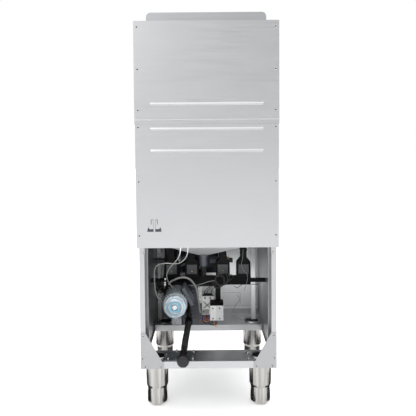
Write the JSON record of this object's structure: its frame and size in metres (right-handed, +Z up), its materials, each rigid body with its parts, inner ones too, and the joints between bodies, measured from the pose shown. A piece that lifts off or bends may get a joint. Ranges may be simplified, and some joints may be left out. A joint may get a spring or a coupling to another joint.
{
  "type": "commercial dishwasher",
  "caption": "Hood-type commercial dishwasher on telescopic feet, with open service base, wash pump, spray arms and a counterbalanced lifting hood.",
  "frame": {"origin": "on the floor, under the centre of the machine's bounding box", "axes": "+Z up, -Y is the front with the handle and the controls, +Y is the rear with the service opening, +X is to the right when facing the front"},
  "size_m": [0.576, 0.8205, 1.672],
  "materials": {
    "stainless_panel": "fine brushed grain, satin",
    "stainless_inner": "plain mill finish",
    "polished_tube": "polished round tube",
    "galvanised_steel": "zinc coated sheet",
    "cast_aluminium": "die cast, bluish silver",
    "dark_enclosure": "dark grey coat",
    "black_plastic": "moulded, satin",
    "black_rubber": "matt hose rubber",
    "grey_plastic": "moulded and extruded",
    "white_plastic": "moulded"
  },
  "bodies": {
    "frame": {"rear_post_left": "stainless_panel", "rear_post_right": "stainless_panel", "rear_bottom_channel": "stainless_panel", "front_bottom_channel": "stainless_panel", "corner_gusset_left": "stainless_panel", "corner_gusset_right": "stainless_panel", "side_panel_left": "stainless_panel", "side_panel_right": "stainless_panel", "front_panel": "stainless_panel", "control_fascia": "stainless_panel", "lower_rear_cover": "stainless_panel", "upper_rear_cover": "stainless_panel", "wash_tank": "stainless_inner", "chamber_rear_wall": "stainless_inner", "rack_guide": "stainless_inner", "tank_strainer": "stainless_inner", "spray_manifold": "stainless_inner", "rinse_boiler": "stainless_inner", "drain_sump": "stainless_inner", "counterbalance_spring_left": "stainless_inner", "counterbalance_spring_right": "stainless_inner", "foot_housing_rear_left": "polished_tube", "foot_housing_rear_right": "polished_tube", "foot_housing_front_left": "polished_tube", "foot_housing_front_right": "polished_tube", "column_frame": "galvanised_steel", "pump_bracket": "galvanised_steel", "pump_motor": "cast_aluminium", "pump_end_bell": "cast_aluminium", "electrical_box": "dark_enclosure", "heater_cover_1": "black_plastic", "heater_cover_2": "black_plastic", "heater_cover_3": "black_plastic", "heater_cover_4": "black_plastic", "cover_rail": "black_plastic", "pump_volute": "black_plastic", "pressure_hose": "black_rubber", "suction_hose": "black_rubber", "drain_hose": "black_rubber", "overflow_pipe": "grey_plastic", "pump_terminal_box": "grey_plastic", "vent_hose": "grey_plastic", "motor_cable": "grey_plastic", "sensor_cable": "grey_plastic", "contactor": "white_plastic", "relay": "white_plastic"},
    "hood": {"hood_shell": "stainless_panel", "hood_handle": "polished_tube", "hood_carrier": "stainless_panel", "guide_shoe_left": "white_plastic", "guide_shoe_right": "white_plastic"},
    "foot_rear_left": {"adjusting_foot_rear_left": "polished_tube"},
    "foot_rear_right": {"adjusting_foot_rear_right": "polished_tube"},
    "foot_front_left": {"adjusting_foot_front_left": "polished_tube"},
    "foot_front_right": {"adjusting_foot_front_right": "polished_tube"},
    "lower_arm": {"lower_spray_arm": "stainless_inner"},
    "upper_arm": {"upper_spray_arm": "stainless_inner"},
    "rotor": {"pump_rotor": "cast_aluminium"},
    "start_button": {"start_button": "white_plastic"},
    "power_button": {"power_button": "white_plastic"}
  },
  "joints": [
    {"name": "hood_lift", "type": "slide", "parent": "frame", "child": "hood", "axis": [0, 0, 1], "range_m": [0, 0.4], "stiffness_N_per_m": 100, "springref_m": 1.9, "deforming": ["counterbalance_spring_left", "counterbalance_spring_right"]},
    {"name": "foot_rear_left_adjust", "type": "slide", "parent": "frame", "child": "foot_rear_left", "axis": [0, 0, -1], "range_m": [0, 0.045]},
    {"name": "foot_rear_right_adjust", "type": "slide", "parent": "frame", "child": "foot_rear_right", "axis": [0, 0, -1], "range_m": [0, 0.045]},
    {"name": "foot_front_left_adjust", "type": "slide", "parent": "frame", "child": "foot_front_left", "axis": [0, 0, -1], "range_m": [0, 0.045]},
    {"name": "foot_front_right_adjust", "type": "slide", "parent": "frame", "child": "foot_front_right", "axis": [0, 0, -1], "range_m": [0, 0.045]},
    {"name": "lower_arm_spin", "type": "hinge", "parent": "frame", "child": "lower_arm", "pos_m": [0, -0.02775, 0.8], "axis": [0, 0, 1], "continuous": true},
    {"name": "upper_arm_spin", "type": "hinge", "parent": "frame", "child": "upper_arm", "pos_m": [0, -0.02775, 1.25], "axis": [0, 0, 1], "continuous": true},
    {"name": "rotor_spin", "type": "hinge", "parent": "frame", "child": "rotor", "pos_m": [0.146, 0.15725, 0.431], "axis": [0, -1, 0], "continuous": true},
    {"name": "start_press", "type": "slide", "parent": "frame", "child": "start_button", "axis": [0, 1, 0], "range_m": [0, 0.002], "stiffness_N_per_m": 600, "springref_m": -0.001},
    {"name": "power_press", "type": "slide", "parent": "frame", "child": "power_button", "axis": [0, 1, 0], "range_m": [0, 0.002], "stiffness_N_per_m": 600, "springref_m": -0.001}
  ]
}
